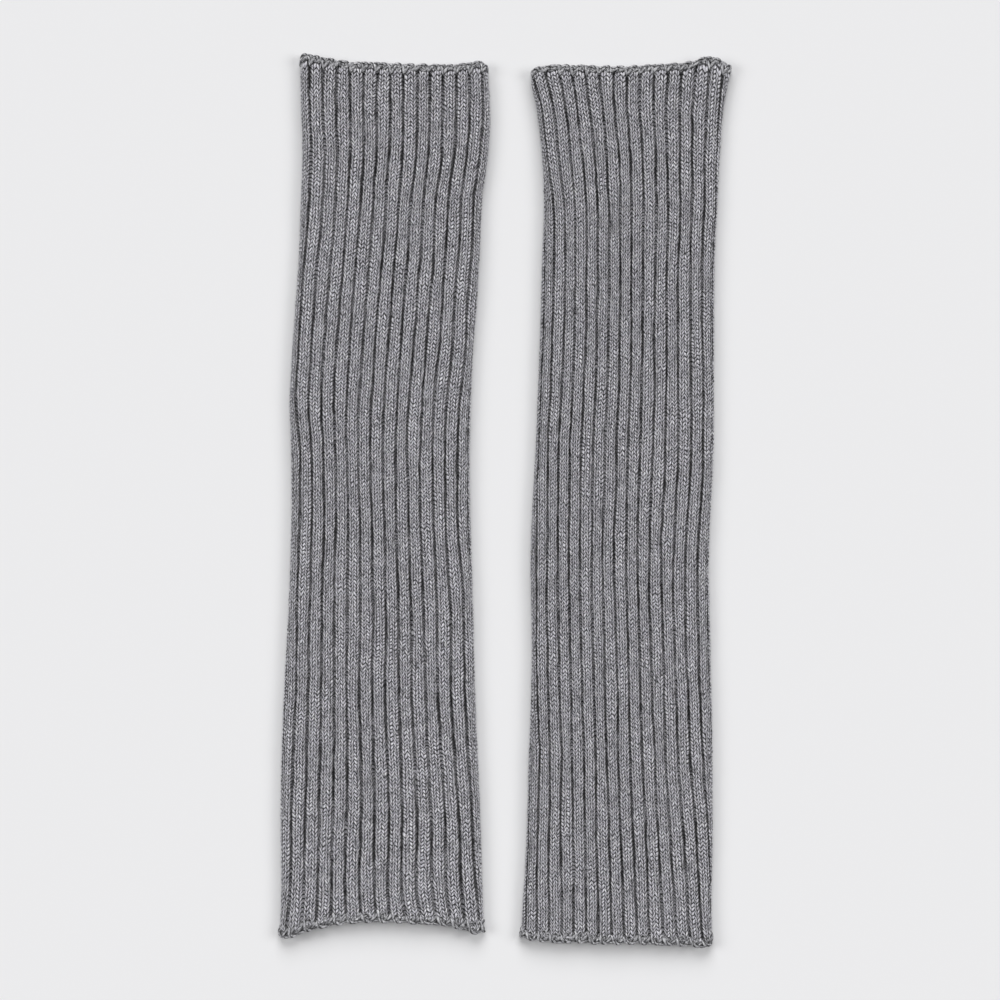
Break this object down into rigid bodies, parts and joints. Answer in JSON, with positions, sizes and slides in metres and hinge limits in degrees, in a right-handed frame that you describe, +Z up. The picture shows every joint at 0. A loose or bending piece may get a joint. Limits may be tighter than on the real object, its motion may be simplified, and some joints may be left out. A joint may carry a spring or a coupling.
{
  "type": "pair of ribbed knit leg warmers",
  "caption": "Straight footless tubes in grey mottled rib knit, open at both ends and laid flat side by side.",
  "frame": {"origin": "on the surface that the pair lies on, under the middle of the pair's box", "axes": "+Y runs up the length of both tubes, +X across the pair to the right, and +Z up from the surface"},
  "size_m": [0.2256, 0.449, 0.0073],
  "materials": {
    "grey_rib_knit": "matt mottled grey yarn in rib knit"
  },
  "bodies": {
    "root": {"left_leg_warmer": "grey_rib_knit", "right_leg_warmer": "grey_rib_knit"}
  },
  "joints": []
}
